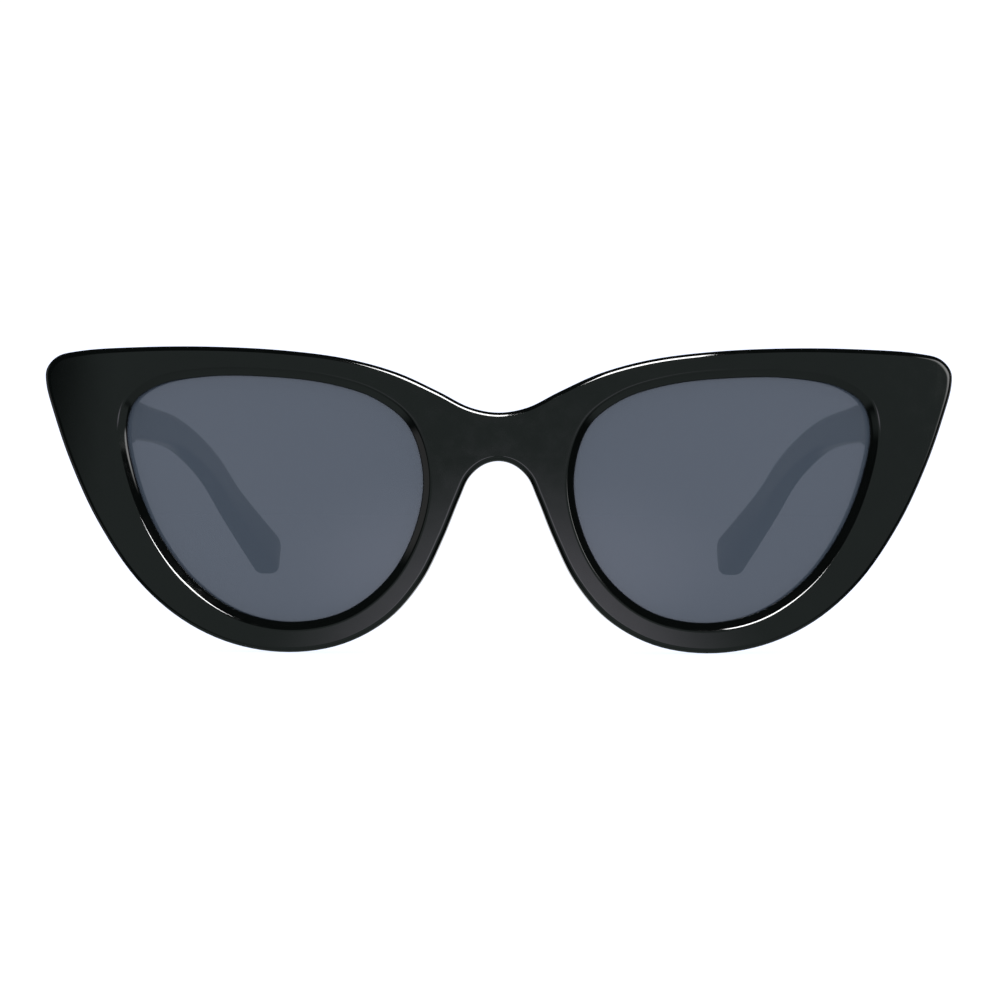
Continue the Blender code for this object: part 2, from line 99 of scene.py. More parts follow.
# Edges of the plate, and the lens's seat: how far from the opening's edge, and how deep
FRONT_ROUND = 0.8 * MM
BACK_ROUND = 0.7 * MM
ROUND_STEPS = 6
FACE_RINGS = (0.04, 0.3, 0.65, 0.96)
RIM_START = 1.45 * MM
RIM_ROUND = 0.7 * MM
RIM_TILT = math.radians(45.0)
RIM_STEPS = 6
SLOPE_SHARES = (0.35, 0.7)
SEAT_ROUND = 0.3 * MM
SEAT_STEPS = 4
SEAT_DEPTH = 1.16 * MM
LENS_GROOVE = ((1.1, 1.16), (1.1, 3.25), (0.15, 3.25))
BACK_LIP = ((0.22, 3.42), (0.9, 4.05), (1.08, 4.2), (1.3, 4.33), (1.55, 4.4))

# Lens. Its innermost ring lies LENS_HUB of a ring's width from the middle.
LENS_THICK = 1.5 * MM
LENS_SETBACK = 1.45 * MM
LENS_REACH = 0.8 * MM
LENS_DOME = 0.7 * MM
LENS_RINGS = 12
LENS_HUB = 0.25
LENS_BEVEL = 0.12 * MM

# Hinges: the left axis comes from its joint, and the right side mirrors it. The open
# temples converge by LET_BACK.
LET_BACK = math.radians(4.0)
HINGE = Vector(next(j["pos_m"] for j in frame["joints"] if j["name"] == "fold_left"))
SEAT = 1.6 * MM
LEAF_FACE = 1.5 * MM
LEAF_THICK = 0.9 * MM
LEAF_BACK = 1.25 * MM
LEAF_TALL = 7.5 * MM
LEAF_CORNER = 0.9 * MM
LEAF_CORNER_STEPS = 6
FRONT_LEAF_LONG = 3.9 * MM
TEMPLE_LEAF_LONG = 7.0 * MM
KNUCKLE_RADIUS = 1.25 * MM
KNUCKLES = 5
KNUCKLE_SPACE = 0.2 * MM
KNUCKLE_BREAK = 0.06 * MM
KNUCKLE_STEPS = 24
PIN_RADIUS = 0.7 * MM
PIN_HEAD_RADIUS = 1.1 * MM
PIN_HEAD_TALL = 0.55 * MM
PIN_HEAD_GAP = 0.03 * MM
BORE_PLAY = 0.03 * MM
GAP = 0.15 * MM
FIX_RADIUS = 0.5 * MM
FIX_HEAD_RADIUS = 0.85 * MM
FIX_HEAD_TALL = 0.4 * MM
FIX_HEAD_GAP = 0.02 * MM
FIX_LONG = 2.4 * MM
FIX_APART = 4.2 * MM
FRONT_FIX_OUT = 2.8 * MM
TEMPLE_FIX_OUT = 4.6 * MM
# Each small screw of a leaf: which one, its side of the middle, and how far its slot is turned
FIXINGS = (("upper", 0.5, math.radians(35.0)), ("lower", -0.5, math.radians(-20.0)))
SLOT_WIDE = 0.26 * MM
SLOT_DEEP = 0.2 * MM
# A head's rounding as a share of its height, and how finely screws are turned
HEAD_ROUND = 0.45
HEAD_STEPS = 5
ROD_SIDES = 48
SHANK_SIDES = 32

# End piece: the block behind the corner of the front
ENDPIECE_IN = 4.5 * MM
ENDPIECE_LONG = 9.0 * MM
ENDPIECE_TALL = 10.6 * MM
ENDPIECE_ROUND = 0.9 * MM
ENDPIECE_STEPS = 4

# Temple: run back from the axis, rise, inward curve, height and thickness, in millimetres
TEMPLE_THICK = 4.0 * MM
TEMPLE_STATIONS = (
    (-1.3, 0.0, 0.0, 10.2, 4.0), (14.0, -0.1, 0.0, 8.4, 4.0), (34.0, -0.5, 0.0, 6.5, 3.8),
    (58.0, -1.6, 0.2, 6.0, 3.7), (78.0, -5.1, 0.7, 6.3, 3.8), (92.0, -9.2, 1.3, 6.7, 3.9),
    (104.0, -14.9, 2.4, 7.3, 4.1), (117.0, -21.1, 4.2, 8.6, 4.6), (128.6, -26.5, 5.9, 9.6, 5.4),
)
TEMPLE_STEPS = 10
TIP_LONG = 4.4 * MM
TIP_STEPS = 14
# Steps that the tip stops short of closing to a point
TIP_BLUNT = 0.3
CORNER_STEPS = 8
# A corner's radius as a share of the thickness, and the most it takes of the height
CORNER_ROUND = 0.34
CORNER_MOST = 0.45
BUTT_ROUND = 0.3 * MM
BUTT_STEPS = 3

# Nose pads
PAD_CENTRE = (11.6, -7.2)
PAD_HALF = (1.7 * MM, 5.2 * MM, 6.8 * MM)
PAD_LEAN = math.radians(24.0)
PAD_FOOT = 0.1 * MM
PAD_SEGMENTS = 48
PAD_RINGS = 32
PAD_CUT = 0.001

# Backdrop: a cool white past full brightness. It shows as plain white, but it tints what
# comes through the lenses.
BACKDROP_TINT = "#e7edff"
BACKDROP_BRIGHT = 1.35

# Floor: a light table, just under the rims
FLOOR_WIDE = 6.0
FLOOR_DROP = 0.05 * MM
FLOOR_GLOW = 1.14

# Studio: what the glossy faces mirror. Each panel is an oval in the sphere of directions:
# its middle, its reach each way, where its soft edge starts, its brightness and its tint.
STUDIO_DARK = "#30332f"
STUDIO_PANELS = (
    ((0.06, -1.0, -0.1), (0.85, 0.9, 0.62), 0.85, 0.36, "#ecfffb"),
    ((0.0, 0.0, -1.0), (1.3, 1.3, 0.75), 0.7, 0.3, "#ecfffb"),
    ((-1.0, 0.1, 0.0), (0.35, 0.6, 0.5), 0.7, 0.4, "#ffffff"),
    ((1.0, 0.45, 0.0), (0.35, 0.4, 0.5), 0.7, 0.9, "#ffffff"),
    ((0.0, 1.0, 0.0), (0.7, 0.8, 0.4), 0.6, 0.7, "#ffffff"),
    ((0.03, -1.0, -0.1), (0.46, 0.3, 0.13), 0.1, 2.2, "#f6efff"),
    ((0.75, -0.62, 0.22), (0.14, 0.12, 0.3), 0.5, 5.0, "#ffffff"),
)
# Lamps: bearing and height as seen from the front, distance, width and height, and radiance
SOFTBOXES = (
    ("front_softbox", math.radians(10.0), math.radians(42.0), 0.6, (0.22, 0.3), 40.0),
)

# Camera: level with the middle of the pair. Its distance is a guess, made together with the
# length of the temples.
CAMERA_BACK = 330.0 * MM
CAMERA_SIDE = 0.25 * MM
CAMERA_ROLL = math.radians(-0.18)
VIEW_WIDE = 156.3 * MM
SENSOR = 36.0
CAMERA_NEAR = 10.0 * MM


def spline(points, steps):
    """A smooth curve through the points. The first and last only steer its ends."""
    knots = np.asarray(points, float)
    spans = np.linalg.norm(np.diff(knots, axis=0), axis=1)[:, None] ** 0.5
    slopes = np.diff(knots, axis=0) / spans
    tangents = (slopes[:-1] * spans[1:] + slopes[1:] * spans[:-1]) / (spans[:-1] + spans[1:])
    curve = []
    for i in range(1, len(knots) - 2):
        for step in range(steps):
            u = step / steps
            start = knots[i] * (1 + 2 * u) + tangents[i - 1] * spans[i] * u
            end = knots[i + 1] * (3 - 2 * u) + tangents[i] * spans[i] * (u - 1)
            curve.append(start * (1 - u) ** 2 + end * u ** 2)
    curve.append(knots[-2])
    return np.array(curve)


def outline(inset):
    """Half of the front's outline, moved inwards, and closed down the middle of the bridge."""
    first = (-FRONT_OUTLINE[1][0], FRONT_OUTLINE[1][1])
    last = (-FRONT_OUTLINE[-2][0], FRONT_OUTLINE[-2][1])
    curve = spline((first, *FRONT_OUTLINE, last), OUTLINE_STEPS)
    along = np.gradient(curve, axis=0)
    along[0] = (1.0, 0.0)
    along[-1] = (-1.0, 0.0)
    along /= np.linalg.norm(along, axis=1)[:, None]
    curve += np.column_stack((along[:, 1], -along[:, 0])) * inset / MM
    middle = [curve[-1] + (curve[0] - curve[-1]) * share for share in BRIDGE_SHARES]
    return np.vstack((curve, middle))


def lens_edge(grow):
    """The lens opening, made larger all round."""
    points = LENS_OUTLINE
    curve = spline((points[-1], *points, points[0], points[1]), LENS_STEPS)[:-1]
    along = np.roll(curve, -1, axis=0) - np.roll(curve, 1, axis=0)
    along /= np.linalg.norm(along, axis=1)[:, None]
    return curve + np.column_stack((-along[:, 1], along[:, 0])) * grow / MM


def spoke_angles():
    """An even full turn of angles about the lens centre, one for each point of the outline."""
    aims = outline(0.0) - LENS_CENTRE
    angles = np.unwrap(np.arctan2(aims[:, 1], aims[:, 0]))
    turn = math.copysign(math.tau, angles[-1] - angles[0])
    for _round in range(EVENING_ROUNDS):
        ahead = np.append(angles[1:], angles[0] + turn)
        behind = np.append(angles[-1] - turn, angles[:-1])
        angles = (ahead + behind + 2 * angles) / 4
    return angles


def opening(grow, angles):
    """The lens opening's edge, made larger all round, at those angles."""
    spokes = lens_edge(grow) - LENS_CENTRE
    bearings = np.arctan2(spokes[:, 1], spokes[:, 0])
    reach = np.interp(angles, bearings, np.hypot(*spokes.T), period=math.tau)
    return LENS_CENTRE + reach[:, None] * np.column_stack((np.cos(angles), np.sin(angles)))


def on_front(points, depth):
    """World places of outline points, at a depth behind the bowed face."""
    across = points[:, 0] * MM
    slant = across / BOW_RADIUS
    upright = np.sqrt(1 - slant ** 2)
    back = BOW_RADIUS * (1 - upright) + depth * upright
    return np.column_stack((across - depth * slant, FRONT_Y + back, MIDDLE_Z + points[:, 1] * MM))


def deselect():
    bpy.ops.object.select_all(action="DESELECT")


def activate(piece):
    deselect()
    piece.select_set(True)
    bpy.context.view_layer.objects.active = piece


def apply_modifier(piece, kind, **settings):
    activate(piece)
    modifier = piece.modifiers.new(kind.title(), kind)
    for key, value in settings.items():
        setattr(modifier, key, value)
    bpy.ops.object.modifier_apply(modifier=modifier.name)


def skin(name, rings, fill=True):
    """A circle extruded once for each ring after the first, then pulled out to the rings."""
    deselect()
    bpy.ops.mesh.primitive_circle_add(vertices=len(rings[0]), enter_editmode=True)
    piece = bpy.context.edit_object
    piece.name = piece.data.name = name
    for _ring in rings[1:]:
        bpy.ops.mesh.extrude_edges_move()
    bpy.ops.object.mode_set(mode="OBJECT")
    piece.data.vertices.foreach_set("co", np.vstack(rings).astype(np.float32).ravel())
    piece.data.update()
    if fill:
        bpy.ops.object.mode_set(mode="EDIT")
        bpy.ops.mesh.select_all(action="SELECT")
        bpy.ops.mesh.fill_holes(sides=0)
        bpy.ops.object.mode_set(mode="OBJECT")
    return piece


def edit(piece, select="SELECT"):
    activate(piece)
    bpy.ops.object.mode_set(mode="EDIT")
    bpy.ops.mesh.select_all(action=select)


def leave_edit():
    bpy.ops.object.mode_set(mode="OBJECT")


def tidy(piece):
    """Merges rows that meet and turns the faces outwards."""
    edit(piece)
    bpy.ops.mesh.remove_doubles(threshold=WELD)
    bpy.ops.mesh.normals_make_consistent(inside=False)
    leave_edit()


def smooth(piece):
    activate(piece)
    bpy.ops.object.shade_smooth_by_angle(angle=SMOOTH_BELOW)


def right_copy(piece, name):
    """The right side's mirror copy, with its own mesh."""
    copy = piece.copy()
    copy.data = piece.data.copy()
    copy.name = copy.data.name = name
    bpy.context.collection.objects.link(copy)
    copy.data.transform(Matrix.Scale(-1.0, 4, (1.0, 0.0, 0.0)))
    tidy(copy)
    return copy


def hinge_frame():
    """The left hinge's own frame: on the axis, turned to the temple's run."""
    return Matrix.Translation(HINGE) @ Matrix.Rotation(LET_BACK, 4, "Z")


def to_world(piece, matrix):
    piece.data.transform(matrix)
    piece.data.update()


def rim_slope():
    """From the face over a rounding, down a straight slope, and round to the lens's seat."""
    turns = np.linspace(0.0, RIM_TILT, RIM_STEPS)
    for turn in turns:
        yield RIM_START - RIM_ROUND * math.sin(turn), RIM_ROUND * (1 - math.cos(turn))
    foot = SEAT_ROUND * (1 - math.sin(RIM_TILT))
    drop = SEAT_DEPTH - SEAT_ROUND * math.cos(RIM_TILT)
    top_grow = RIM_START - RIM_ROUND * math.sin(RIM_TILT)
    top_depth = RIM_ROUND * (1 - math.cos(RIM_TILT))
    for share in SLOPE_SHARES:
        yield top_grow + (foot - top_grow) * share, top_depth + (drop - top_depth) * share
    for turn in np.linspace(RIM_TILT, math.pi / 2, SEAT_STEPS):
        yield SEAT_ROUND * (1 - math.sin(turn)), SEAT_DEPTH - SEAT_ROUND * math.cos(turn)


def front_profile():
    """Rings of the half front, from the back face out round the edge and in to the lens seat."""
    turns = np.linspace(0.0, math.pi / 2, ROUND_STEPS + 1)
    for turn in turns:
        inset = BACK_ROUND * (1 - math.sin(turn))
        yield "outer", inset, FRONT_THICK - BACK_ROUND * (1 - math.cos(turn))
    for turn in turns:
        yield "outer", FRONT_ROUND * (1 - math.cos(turn)), FRONT_ROUND * (1 - math.sin(turn))
    for share in FACE_RINGS:
        yield "face", share, 0.0
    for grow, depth in rim_slope():
        yield "inner", grow, depth
    for grow, depth in LENS_GROOVE + BACK_LIP:
        yield "inner", grow * MM, depth * MM
    for share in reversed(FACE_RINGS):
        yield "back", share, FRONT_THICK
    yield "outer", BACK_ROUND, FRONT_THICK


def front_rings():
    angles = spoke_angles()
    edges = {
        "face": (outline(FRONT_ROUND), opening(RIM_START, angles)),
        "back": (outline(BACK_ROUND), opening(BACK_LIP[-1][0] * MM, angles)),
    }
    for kind, value, depth in front_profile():
        if kind == "outer":
            points = outline(value)
        elif kind == "inner":
            points = opening(value, angles)
        else:
            outer, inner = edges[kind]
            points = outer + (inner - outer) * value
        yield on_front(points, depth)


def open_bridge(piece):
    """Takes out the faces that lie in the middle of the bridge, where the halves meet."""
    edit(piece, "DESELECT")
    mesh = bmesh.from_edit_mesh(piece.data)
    for face in mesh.faces:
        face.select = all(abs(vertex.co.x) < ON_MIDDLE for vertex in face.verts)
    bmesh.update_edit_mesh(piece.data)
    bpy.ops.mesh.delete(type="FACE")
    leave_edit()


def block(name, low, high, width=0.0, segments=1):
    """A cube at its size and place. A width rounds all its edges."""
    low = Vector(low)
    high = Vector(high)
    deselect()
    bpy.ops.mesh.primitive_cube_add(size=1.0, location=(low + high) / 2)
    piece = bpy.context.object
    piece.name = name
    bpy.ops.transform.resize(value=high - low)
    bpy.ops.object.transform_apply(location=True, rotation=True, scale=True)
    if width:
        edit(piece)
        bpy.ops.mesh.bevel(offset=width, segments=segments, affect="EDGES")
        leave_edit()
    return piece


def boolean(piece, tool, operation):
    apply_modifier(piece, "BOOLEAN", operation=operation, object=tool, solver="EXACT")
    bpy.data.objects.remove(tool, do_unlink=True)


def leaf_recess(turn, reach, back):
    high = LEAF_TALL / 2 + GAP
    recess = block(
        "recess", (-back, 0.0, -high), (reach + GAP, LEAF_FACE + LEAF_THICK + GAP, high)
    )
    to_world(recess, turn)
    return recess


# Leaves are drawn along +X, with the plate at +Y and the axis on Z
TO_FRONT = Matrix.Rotation(math.pi, 4, "Z")
TO_TEMPLE = Matrix(((0, 1, 0, 0), (1, 0, 0, 0), (0, 0, 1, 0), (0, 0, 0, 1)))


def make_front():
    front = skin("front_plate", list(front_rings()), fill=False)
    tidy(front)
    open_bridge(front)
    apply_modifier(front, "MIRROR", merge_threshold=ON_MIDDLE)
    for side in (1, -1):
        endpiece = block(
            "endpiece", (-ENDPIECE_IN, -SEAT - ENDPIECE_LONG, -ENDPIECE_TALL / 2),
            (SEAT + TEMPLE_THICK, -SEAT, ENDPIECE_TALL / 2), ENDPIECE_ROUND, ENDPIECE_STEPS,
        )
        recess = leaf_recess(TO_FRONT, FRONT_LEAF_LONG, LEAF_BACK + GAP)
        for tool, operation in ((endpiece, "UNION"), (recess, "DIFFERENCE")):
            to_world(tool, hinge_frame())
            if side < 0:
                to_world(tool, Matrix.Scale(-1.0, 4, (1.0, 0.0, 0.0)))
            tidy(tool)
            boolean(front, tool, operation)
    smooth(front)
    return front


def lens_rings():
    """From the middle of the front surface out over the edge and in to the middle behind."""
    edge = lens_edge(LENS_REACH)
    near = lens_edge(LENS_REACH - LENS_BEVEL)
    for i in range(LENS_RINGS):
        share = (i + LENS_HUB) / LENS_RINGS
        yield LENS_CENTRE + (near - LENS_CENTRE) * share, share
    yield near, 1.0
    yield edge, None


def make_lens():
    front = []
    back = []
    for points, share in lens_rings():
        lift = LENS_DOME * (1 - share ** 2) if share is not None else -LENS_BEVEL
        front.append(on_front(points, LENS_SETBACK - lift))
        sink = lift if share is not None else LENS_BEVEL
        back.append(on_front(points, LENS_SETBACK + LENS_THICK - sink))
    lens = skin("lens_left_shell", front + back[::-1])
    tidy(lens)
    smooth(lens)
    return lens


def temple_stations():
    rows = np.array(TEMPLE_STATIONS)
    guides = (2 * rows[0] - rows[1], 2 * rows[-1] - rows[-2])
    curve = spline((guides[0], *rows, guides[1]), TEMPLE_STEPS) * MM
    ahead = np.gradient(curve[:, :2], axis=0)
    ahead /= np.linalg.norm(ahead, axis=1)[:, None]
    stations = []
    for (run, rise, inward, tall, thick), way in zip(curve, ahead):
        centre = Vector((SEAT + TEMPLE_THICK / 2 - inward, run, rise))
        stations.append((centre, Vector((0.0, *way)), tall, thick))
    centre, way, tall, thick = stations[-1]
    drift = (centre - stations[-2][0]).normalized()
    for i in range(1, TIP_STEPS + 1):
        turn = math.pi / 2 * i / (TIP_STEPS + TIP_BLUNT)
        end = centre + drift * TIP_LONG * math.sin(turn)
        size = math.cos(turn)
        stations.append((end, way, tall * size, thick * math.sqrt(size)))
    return stations


def temple_section(centre, way, tall, thick, inset=0.0):
    """A rounded rectangle across the temple's run."""
    up = np.array((0.0, -way.z, way.y))
    out = np.array((1.0, 0.0, 0.0))
    half_out = thick / 2 - inset
    half_up = tall / 2 - inset
    reach = min(half_out * 2 * CORNER_ROUND, half_up * 2 * CORNER_MOST)
    ring = []
    for corner in range(4):
        start = corner * math.pi / 2
        middle = start + math.pi / 4
        mid_out = math.copysign(half_out - reach, math.cos(middle))
        mid_up = math.copysign(half_up - reach, math.sin(middle))
        for i in range(CORNER_STEPS):
            turn = start + math.pi / 2 * i / (CORNER_STEPS - 1)
            across = mid_out + reach * math.cos(turn)
            rise = mid_up + reach * math.sin(turn)
            ring.append(np.array(centre) + out * across + up * rise)
    return np.array(ring)


def make_temple():
    stations = temple_stations()
    centre, way, tall, thick = stations[0]
    butt = []
    for turn in np.linspace(0.0, math.pi / 2, BUTT_STEPS + 1)[:-1]:
        inset = BUTT_ROUND * (1 - math.sin(turn))
        forward = Vector((0.0, BUTT_ROUND * (1 - math.cos(turn)), 0.0))
        butt.append(temple_section(centre + forward, way, tall, thick, inset))
    run = [temple_section(*station) for station in stations[1:]]
    settled = centre + Vector((0.0, BUTT_ROUND, 0.0))
    temple = skin("temple_left_arm", butt + [temple_section(settled, way, tall, thick)] + run)
    tidy(temple)
    boolean(temple, leaf_recess(TO_TEMPLE, TEMPLE_LEAF_LONG, LEAF_TALL), "DIFFERENCE")
    to_world(temple, hinge_frame())
    smooth(temple)
    return temple


def make_nose_pad():
    """A ball drawn out to an egg and cut flat where it is glued to the rim."""
    deselect()
    bpy.ops.mesh.primitive_uv_sphere_add(
        segments=PAD_SEGMENTS, ring_count=PAD_RINGS, radius=1.0, rotation=(math.pi / 2, 0.0, 0.0)
    )
    bpy.ops.object.transform_apply(location=True, rotation=True, scale=True)
    pad = bpy.context.object
    pad.name = pad.data.name = "nose_pad_left_glued"
    edit(pad)
    bpy.ops.mesh.bisect(
        plane_co=(0, 0, 0), plane_no=(0, 1, 0), use_fill=True, clear_inner=True,
        threshold=PAD_CUT,
    )
    leave_edit()
    place = on_front(np.array([PAD_CENTRE]), FRONT_THICK - PAD_FOOT)[0]
    facing = Matrix.Rotation(math.asin(PAD_CENTRE[0] * MM / BOW_RADIUS), 4, "Z")
    lean = Matrix.Rotation(-PAD_LEAN, 4, "Y")
    to_world(pad, Matrix.Translation(place) @ facing @ lean @ Matrix.Diagonal((*PAD_HALF, 1.0)))
    tidy(pad)
    smooth(pad)
    return pad


def knuckle(low, high):
    """A barrel about the axis with a web down to its plate, and its ends just broken."""
    foot = LEAF_FACE + LEAF_THICK / 2
    turns = np.linspace(math.pi, math.tau, KNUCKLE_STEPS + 1)
    rings = []
    for level, inset in (
        (low, KNUCKLE_BREAK), (low + KNUCKLE_BREAK, 0.0),
        (high - KNUCKLE_BREAK, 0.0), (high, KNUCKLE_BREAK),
    ):
        radius = KNUCKLE_RADIUS - inset
        barrel = np.column_stack((radius * np.cos(turns), radius * np.sin(turns)))
        outline_points = np.vstack(([(radius, foot), (-radius, foot)], barrel))
        rings.append(np.column_stack((outline_points, np.full(len(outline_points), level))))
    piece = skin("knuckle", rings)
    tidy(piece)
    return piece


def upright_rod(name, radius, low, high, vertices=ROD_SIDES):
    deselect()
    bpy.ops.mesh.primitive_cylinder_add(
        vertices=vertices, radius=radius, depth=high - low, location=(0, 0, (low + high) / 2)
    )
    bpy.ops.object.transform_apply(location=True, rotation=True, scale=True)
    bpy.context.object.name = name
    return bpy.context.object


def round_corners(piece, axis, width):
    """Bevels the edges of a block that run along one axis."""
    edit(piece, "DESELECT")
    mesh = bmesh.from_edit_mesh(piece.data)
    for edge in mesh.edges:
        way = (edge.verts[1].co - edge.verts[0].co).normalized()
        edge.select = abs(way[axis]) > EDGE_ALONG
    bmesh.update_edit_mesh(piece.data)
    bpy.ops.mesh.bevel(offset=width, segments=LEAF_CORNER_STEPS, affect="EDGES")
    leave_edit()


def make_leaf(name, first, reach, turn):
    high = LEAF_TALL / 2
    leaf = block(name, (-LEAF_BACK, LEAF_FACE, -high), (reach, LEAF_FACE + LEAF_THICK, high))
    round_corners(leaf, 1, LEAF_CORNER)
    step = (LEAF_TALL + KNUCKLE_SPACE) / KNUCKLES
    for i in range(first, KNUCKLES, 2):
        low = -high + i * step
        boolean(leaf, knuckle(low, low + step - KNUCKLE_SPACE), "UNION")
    bore = upright_rod("bore", PIN_RADIUS + BORE_PLAY, -LEAF_TALL, LEAF_TALL)
    boolean(leaf, bore, "DIFFERENCE")
    to_world(leaf, hinge_frame() @ turn)
    tidy(leaf)
    smooth(leaf)
    return leaf


def make_screw(name, radius, head_radius, head_tall, under, tip):
    """A turned pin: its head is rounded over and slotted."""
    shank = upright_rod(name, radius, tip, under + head_tall / 2, SHANK_SIDES)
    head = upright_rod("head", head_radius, under, under + head_tall)
    edit(head, "DESELECT")
    mesh = bmesh.from_edit_mesh(head.data)
    for face in mesh.faces:
        face.select = face.normal.z > FACE_ALONG
    bmesh.update_edit_mesh(head.data)
    bpy.ops.mesh.bevel(offset=head_tall * HEAD_ROUND, segments=HEAD_STEPS, affect="EDGES")
    leave_edit()
    boolean(shank, head, "UNION")
    top = under + head_tall
    slot = block(
        "slot", (-head_radius * 2, -SLOT_WIDE / 2, top - SLOT_DEEP),
        (head_radius * 2, SLOT_WIDE / 2, top + SLOT_DEEP),
    )
    boolean(shank, slot, "DIFFERENCE")
    tidy(shank)
    smooth(shank)
    return shank


def make_fixings(leaf, fix_out, turn):
    """The two small screws of a leaf, laid down with their heads towards the axis."""
    under = FIX_HEAD_GAP - LEAF_FACE
    laid = Matrix.Rotation(math.pi / 2, 4, "X")
    for height, side, slot_turn in FIXINGS:
        screw = make_screw(
            f"{leaf}_screw_left_{height}_turned", FIX_RADIUS, FIX_HEAD_RADIUS, FIX_HEAD_TALL,
            under, -LEAF_FACE - LEAF_THICK - FIX_LONG,
        )
        place = Matrix.Translation((fix_out, 0, FIX_APART * side))
        driven = Matrix.Rotation(slot_turn, 4, "Z")
        to_world(screw, hinge_frame() @ turn @ place @ laid @ driven)
        tidy(screw)
        yield screw, f"{leaf}_screw_left_{height}"


def linear(code):
    """A hex colour, as painted on a screen, in the renderer's linear light."""
    shades = [int(code[i:i + 2], 16) / 255 for i in (1, 3, 5)]
    light = [s / 12.92 if s <= 0.04045 else ((s + 0.055) / 1.055) ** 2.4 for s in shades]
    return (*light, 1.0)


def add_node(owner, kind, inputs=None, **settings):
    """Adds a node with its settings. An input is a value, or another node's socket to link."""
    tree = owner.node_tree
    node = tree.nodes.new(kind)
    for key, value in settings.items():
        setattr(node, key, value)
    for socket, value in (inputs or {}).items():
        if isinstance(value, bpy.types.NodeSocket):
            tree.links.new(value, node.inputs[socket])
        else:
            node.inputs[socket].default_value = value
    return node


def new_material(name):
    material = bpy.data.materials.new(name)
    material.use_nodes = True
    material.node_tree.nodes.clear()
    return material


def black_acetate():
    """Black cellulose acetate, tumbled and buffed.

    The eye gets a deep wet gloss, slow waves about 9 mm across left by the tumbling, and a
    haze in patches about 2.5 mm across where the buffing was lighter.
    """
    acetate = new_material("Black cellulose acetate, buffed")
    place = add_node(acetate, "ShaderNodeTexCoord").outputs["Object"]
    waves = add_node(acetate, "ShaderNodeTexNoise", {"Vector": place, "Scale": 1 / (9.0 * MM)})
    haze = add_node(
        acetate, "ShaderNodeTexNoise", {"Vector": place, "Scale": 1 / (2.5 * MM), "Detail": 5.0}
    )
    gloss = add_node(
        acetate, "ShaderNodeMapRange",
        {"Value": haze.outputs[0], "From Min": 0.35, "From Max": 0.65,
         "To Min": 0.04, "To Max": 0.1},
    )
    depth = add_node(
        acetate, "ShaderNodeMix",
        {0: waves.outputs[0], 6: linear("#020303"), 7: linear("#050706")}, data_type="RGBA",
    )
    ripple = add_node(
        acetate, "ShaderNodeBump", {"Height": waves.outputs[0], "Distance": 0.012 * MM}
    )
    shader = add_node(
        acetate, "ShaderNodeBsdfPrincipled",
        {"Base Color": depth.outputs[2], "Roughness": gloss.outputs[0], "IOR": 1.48,
         "Normal": ripple.outputs[0]},
    )
    add_node(acetate, "ShaderNodeOutputMaterial", {"Surface": shader.outputs[0]})
    return acetate


def pad_acetate():
    """Black cellulose acetate, buffed by hand after gluing: a softer gloss with a fine haze."""
    acetate = new_material("Black cellulose acetate, hand buffed")
    place = add_node(acetate, "ShaderNodeTexCoord").outputs["Object"]
    haze = add_node(
        acetate, "ShaderNodeTexNoise", {"Vector": place, "Scale": 1 / (1.5 * MM), "Detail": 4.0}
    )
    gloss = add_node(
        acetate, "ShaderNodeMapRange",
        {"Value": haze.outputs[0], "From Min": 0.35, "From Max": 0.65,
         "To Min": 0.1, "To Max": 0.2},
    )
    depth = add_node(
        acetate, "ShaderNodeMix",
        {0: haze.outputs[0], 6: linear("#030404"), 7: linear("#070908")}, data_type="RGBA",
    )
    ripple = add_node(
        acetate, "ShaderNodeBump", {"Height": haze.outputs[0], "Distance": 0.006 * MM}
    )
    shader = add_node(
        acetate, "ShaderNodeBsdfPrincipled",
        {"Base Color": depth.outputs[2], "Roughness": gloss.outputs[0], "IOR": 1.48,
         "Normal": ripple.outputs[0]},
    )
    add_node(acetate, "ShaderNodeOutputMaterial", {"Surface": shader.outputs[0]})
    return acetate


def tinted_lens():
    """Smoke grey lens plastic, dyed right through and hard coated.

    The eye gets a nearly opaque, faintly blue grey whose two faces together let through
    about a twentieth of the light, and a clean gloss with a dip coat's slow unevenness.
    """
    lens = new_material("Smoke grey lens plastic, dyed and hard coated")
    place = add_node(lens, "ShaderNodeTexCoord").outputs["Object"]
    film = add_node(lens, "ShaderNodeTexNoise", {"Vector": place, "Scale": 1 / (22.0 * MM)})
    dye = add_node(
        lens, "ShaderNodeMix",
        {0: film.outputs[0], 6: linear("#444b51"), 7: linear("#464d53")}, data_type="RGBA",
    )
    gloss = add_node(
        lens, "ShaderNodeMapRange",
        {"Value": film.outputs[0], "From Min": 0.35, "From Max": 0.65,
         "To Min": 0.06, "To Max": 0.1},
    )
    shader = add_node(
        lens, "ShaderNodeBsdfPrincipled",
        {"Base Color": dye.outputs[2], "Roughness": gloss.outputs[0], "IOR": 1.5,
         "Specular IOR Level": 0.15, "Alpha": 0.79},
    )
    add_node(lens, "ShaderNodeOutputMaterial", {"Surface": shader.outputs[0]})
    return lens


